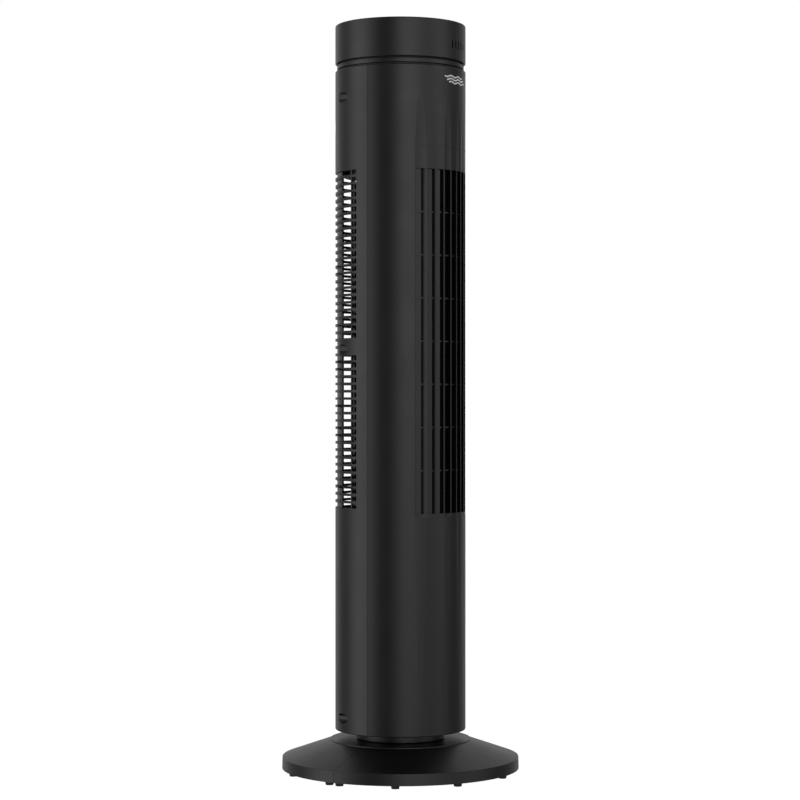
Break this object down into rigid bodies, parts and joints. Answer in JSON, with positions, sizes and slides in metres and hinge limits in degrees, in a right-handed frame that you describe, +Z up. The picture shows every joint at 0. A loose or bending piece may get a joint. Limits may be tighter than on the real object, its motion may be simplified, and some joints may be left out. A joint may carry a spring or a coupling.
{
  "type": "tower fan",
  "caption": "Slim round tower fan on a wide disc base: fluted front grille, slatted back grille with hand grip, swinging column, crossflow impeller and top controls.",
  "frame": {"origin": "centre of the base on the floor, on the column's axis", "axes": "+Z up along the column's axis; -Y is the front, where the air comes out; +X is to the right for someone who faces the front"},
  "size_m": [0.236, 0.236, 0.742],
  "materials": {
    "black_shell": "satin fine-grained ABS",
    "black_base": "satin fine-grained ABS",
    "gloss_panel": "polished black",
    "button_plastic": "satin",
    "smoked_lens": "dark tinted lens",
    "black_rubber": "matt",
    "white_acetal": "smooth acetal",
    "inner_plastic": "plain moulded",
    "impeller_plastic": "plain moulded",
    "zinc_steel": "zinc plated",
    "shaft_steel": "ground",
    "lamination_steel": "varnished laminations",
    "copper_wire": "enamelled copper",
    "bronze_bush": "sintered",
    "motor_aluminium": "die cast",
    "circuit_board": "solder mask",
    "component_black": "moulded"
  },
  "bodies": {
    "base": {"base_front_half": "black_base", "base_rear_half": "black_base", "base_screws": "zinc_steel", "rubber_feet": "black_rubber", "cord_grommet": "black_rubber", "pivot_neck": "black_base", "locking_nut": "inner_plastic", "slide_ring": "white_acetal", "yoke_plate": "white_acetal", "yoke_screws": "zinc_steel"},
    "rotor": {"impeller": "impeller_plastic", "impeller_hub": "black_rubber", "impeller_pin": "shaft_steel", "motor_shaft": "shaft_steel", "motor_rotor": "lamination_steel"},
    "crank": {"swing_crank": "white_acetal", "swing_motor_shaft": "shaft_steel"},
    "power_button": {"power_button": "button_plastic"},
    "speed_button": {"speed_button": "button_plastic"},
    "swing_button": {"swing_button": "button_plastic"},
    "timer_button": {"timer_button": "button_plastic"},
    "column": {"turntable": "inner_plastic", "swing_bridge": "zinc_steel", "bridge_screws": "zinc_steel", "swing_motor": "zinc_steel", "swing_motor_screws": "zinc_steel", "front_shell": "black_shell", "rear_shell": "black_shell", "shell_screws": "zinc_steel", "duct_bottom": "inner_plastic", "duct_top": "inner_plastic", "scroll_wall": "inner_plastic", "tongue_wall": "inner_plastic", "motor_stator": "lamination_steel", "motor_windings": "copper_wire", "motor_upper_cover": "motor_aluminium", "motor_lower_cover": "motor_aluminium", "motor_bushes": "bronze_bush", "motor_screws": "zinc_steel", "motor_mount": "zinc_steel", "mount_screws": "zinc_steel", "top_bush": "bronze_bush", "bush_cushion": "black_rubber", "head_mount": "inner_plastic", "trim_ring": "black_shell", "head_cap": "black_shell", "slot_window": "smoked_lens", "control_panel": "gloss_panel", "display_window": "smoked_lens", "display_module": "component_black", "control_board": "circuit_board", "board_screws": "zinc_steel", "tact_switches": "component_black", "ir_receiver": "component_black", "buzzer": "component_black", "wiring_loom": "component_black"}
  },
  "joints": [
    {"name": "column_swing", "type": "hinge", "parent": "base", "child": "column", "pos_m": [0, 0, 0.05], "axis": [0, 0, 1], "range_deg": [-35, 35]},
    {"name": "rotor_spin", "type": "hinge", "parent": "column", "child": "rotor", "pos_m": [0, 0, 0.4], "axis": [0, 0, 1], "continuous": true},
    {"name": "crank_turn", "type": "hinge", "parent": "column", "child": "crank", "pos_m": [0.0174, 0, 0.062], "axis": [0, 0, 1], "range_deg": [-110, 110]},
    {"name": "power_press", "type": "slide", "parent": "column", "child": "power_button", "axis": [0, 0, -1], "range_m": [0, 0.0008], "stiffness_N_per_m": 400},
    {"name": "speed_press", "type": "slide", "parent": "column", "child": "speed_button", "axis": [0, 0, -1], "range_m": [0, 0.0008], "stiffness_N_per_m": 400},
    {"name": "swing_press", "type": "slide", "parent": "column", "child": "swing_button", "axis": [0, 0, -1], "range_m": [0, 0.0008], "stiffness_N_per_m": 400},
    {"name": "timer_press", "type": "slide", "parent": "column", "child": "timer_button", "axis": [0, 0, -1], "range_m": [0, 0.0008], "stiffness_N_per_m": 400}
  ],
  "couplings": [
    {"joint": "crank_turn", "follows": "column_swing", "ratio": -3.1}
  ]
}
